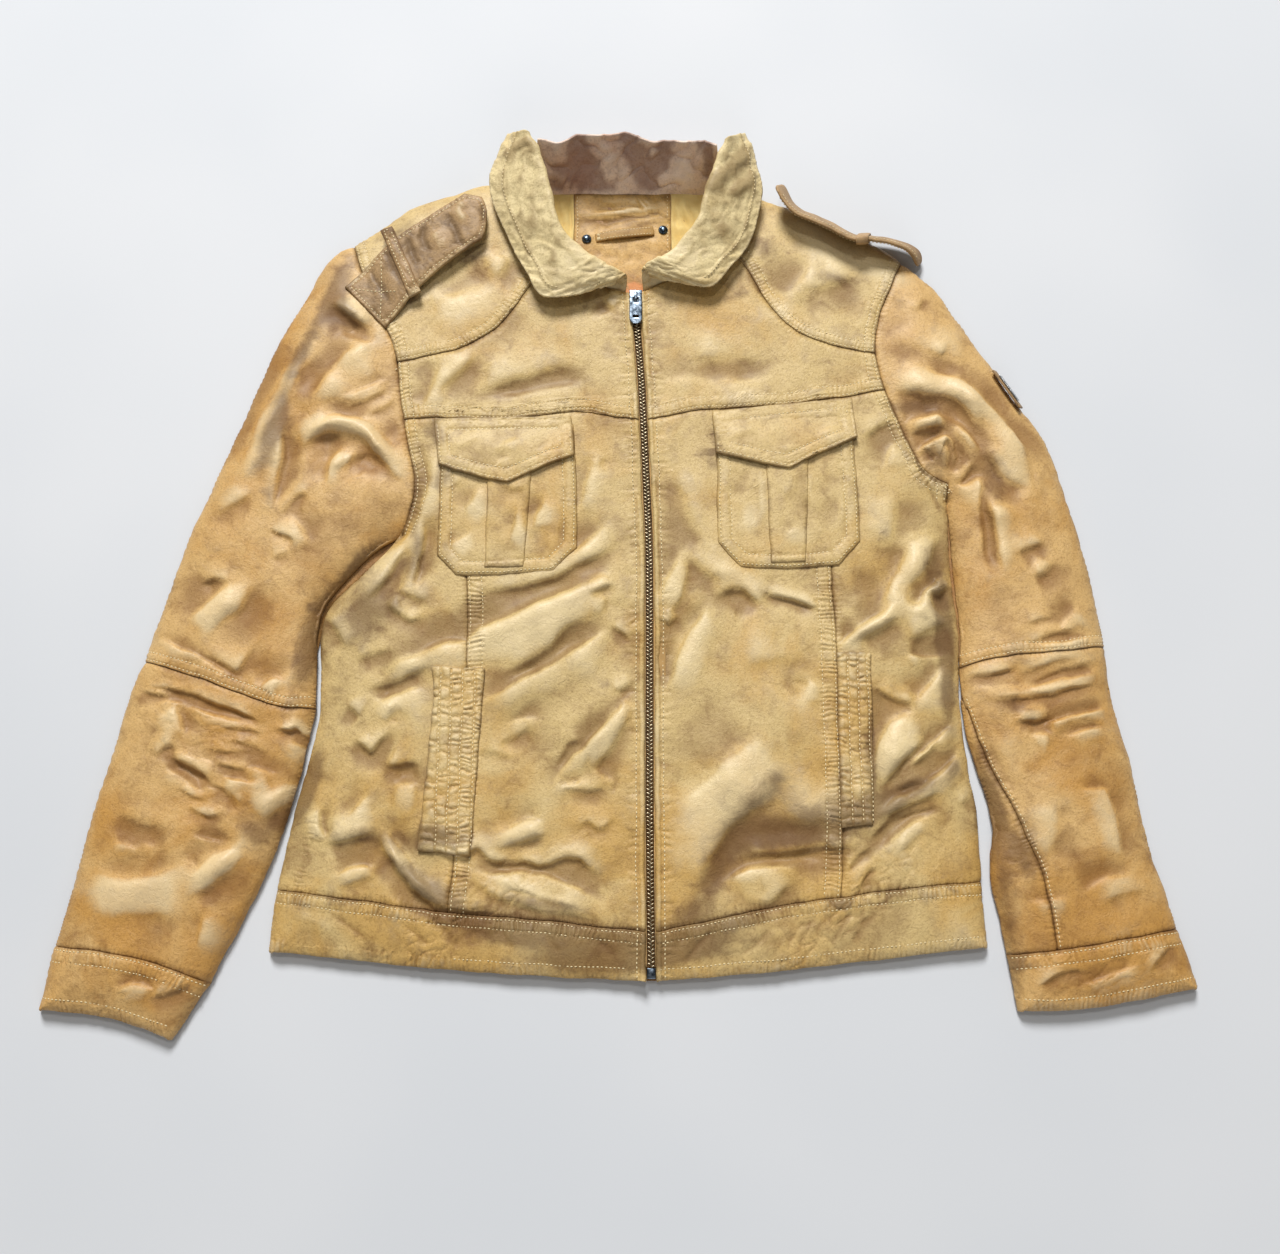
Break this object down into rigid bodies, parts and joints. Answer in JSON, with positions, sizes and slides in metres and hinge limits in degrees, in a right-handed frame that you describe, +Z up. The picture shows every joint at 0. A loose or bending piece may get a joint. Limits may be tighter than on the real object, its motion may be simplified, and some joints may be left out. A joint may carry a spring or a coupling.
{
  "type": "leather jacket",
  "caption": "Worn leather jacket laid flat on its back, zipped up, with flapped and pleated chest pockets, shoulder straps and a standing collar.",
  "frame": {"origin": "on the surface the jacket lies on, in the middle of its bounds", "axes": "+X to the right of the laid jacket as seen from above, +Y towards the collar, +Z up from the surface"},
  "size_m": [0.9166, 0.7829, 0.0627],
  "materials": {
    "back_panel": "worn, glossy, creased",
    "badge": "worn, glossy, creased",
    "badge_plate": "worn",
    "centre_front_l": "worn, glossy, creased",
    "centre_front_r": "worn, glossy, creased",
    "chest_l": "worn, glossy, creased",
    "chest_pocket_l": "worn, glossy, creased",
    "chest_pocket_r": "worn, glossy, creased",
    "chest_r": "worn, glossy, creased",
    "collar_back": "worn, glossy, creased",
    "collar_leaf_l": "worn, glossy, creased",
    "collar_leaf_r": "worn, glossy, creased",
    "cuff_back_l": "worn, glossy, creased",
    "cuff_back_r": "worn, glossy, creased",
    "cuff_front_l": "worn, glossy, creased",
    "cuff_front_r": "worn, glossy, creased",
    "epaulette_clip_l": "worn, glossy, creased",
    "epaulette_clip_r": "worn, glossy, creased",
    "epaulette_l": "worn, glossy, creased",
    "epaulette_r": "worn, glossy, creased",
    "forearm_inner_r": "worn, glossy, creased",
    "forearm_l": "worn, glossy, creased",
    "forearm_r": "worn, glossy, creased",
    "hanger_loop": "worn, glossy, creased",
    "hanger_stud_l": "worn, dark",
    "hanger_stud_r": "worn, dark",
    "hem_band_back": "worn, glossy, creased",
    "hem_band_front_l": "worn, glossy, creased",
    "hem_band_front_r": "worn, glossy, creased",
    "lining_l": "woven, used",
    "lining_r": "woven, used",
    "neck_facing": "woven, used",
    "pocket_flap_l": "worn, glossy, creased",
    "pocket_flap_r": "worn, glossy, creased",
    "pocket_pleat_l": "worn, glossy, creased",
    "pocket_pleat_r": "worn, glossy, creased",
    "shoulder_yoke_l": "worn, glossy, creased",
    "shoulder_yoke_r": "worn, glossy, creased",
    "side_front_l": "worn, glossy, creased",
    "side_front_r": "worn, glossy, creased",
    "sleeve_under_l": "worn, glossy, creased",
    "sleeve_under_r": "worn, glossy, creased",
    "upper_sleeve_l": "worn, glossy, creased",
    "upper_sleeve_r": "worn, glossy, creased",
    "welt_l": "worn, glossy, creased",
    "welt_r": "worn, glossy, creased",
    "zip_chain": "old, dull",
    "zip_pull_tab": "worn",
    "zip_slider": "worn",
    "zip_stop": "worn",
    "zip_tape_l": "woven, used",
    "zip_tape_r": "woven, used"
  },
  "bodies": {
    "jacket": {"back_panel": "back_panel", "badge": "badge", "badge_plate": "badge_plate", "centre_front_l": "centre_front_l", "centre_front_r": "centre_front_r", "chest_l": "chest_l", "chest_pocket_l": "chest_pocket_l", "chest_pocket_r": "chest_pocket_r", "chest_r": "chest_r", "collar_back": "collar_back", "collar_leaf_l": "collar_leaf_l", "collar_leaf_r": "collar_leaf_r", "cuff_back_l": "cuff_back_l", "cuff_back_r": "cuff_back_r", "cuff_front_l": "cuff_front_l", "cuff_front_r": "cuff_front_r", "epaulette_clip_l": "epaulette_clip_l", "epaulette_clip_r": "epaulette_clip_r", "epaulette_l": "epaulette_l", "epaulette_r": "epaulette_r", "forearm_inner_r": "forearm_inner_r", "forearm_l": "forearm_l", "forearm_r": "forearm_r", "hanger_loop": "hanger_loop", "hanger_stud_l": "hanger_stud_l", "hanger_stud_r": "hanger_stud_r", "hem_band_back": "hem_band_back", "hem_band_front_l": "hem_band_front_l", "hem_band_front_r": "hem_band_front_r", "lining_l": "lining_l", "lining_r": "lining_r", "neck_facing": "neck_facing", "pocket_flap_l": "pocket_flap_l", "pocket_flap_r": "pocket_flap_r", "pocket_pleat_l": "pocket_pleat_l", "pocket_pleat_r": "pocket_pleat_r", "shoulder_yoke_l": "shoulder_yoke_l", "shoulder_yoke_r": "shoulder_yoke_r", "side_front_l": "side_front_l", "side_front_r": "side_front_r", "sleeve_under_l": "sleeve_under_l", "sleeve_under_r": "sleeve_under_r", "upper_sleeve_l": "upper_sleeve_l", "upper_sleeve_r": "upper_sleeve_r", "welt_l": "welt_l", "welt_r": "welt_r", "zip_chain": "zip_chain", "zip_slider": "zip_slider", "zip_stop": "zip_stop", "zip_tape_l": "zip_tape_l", "zip_tape_r": "zip_tape_r"},
    "pull_tab": {"zip_pull_tab": "zip_pull_tab"}
  },
  "joints": [
    {"name": "pull_tab_hinge", "type": "hinge", "parent": "jacket", "child": "pull_tab", "pos_m": [0.0127, 0.239, 0.0182], "axis": [-1, 0, 0], "range_deg": [0, 160]}
  ]
}
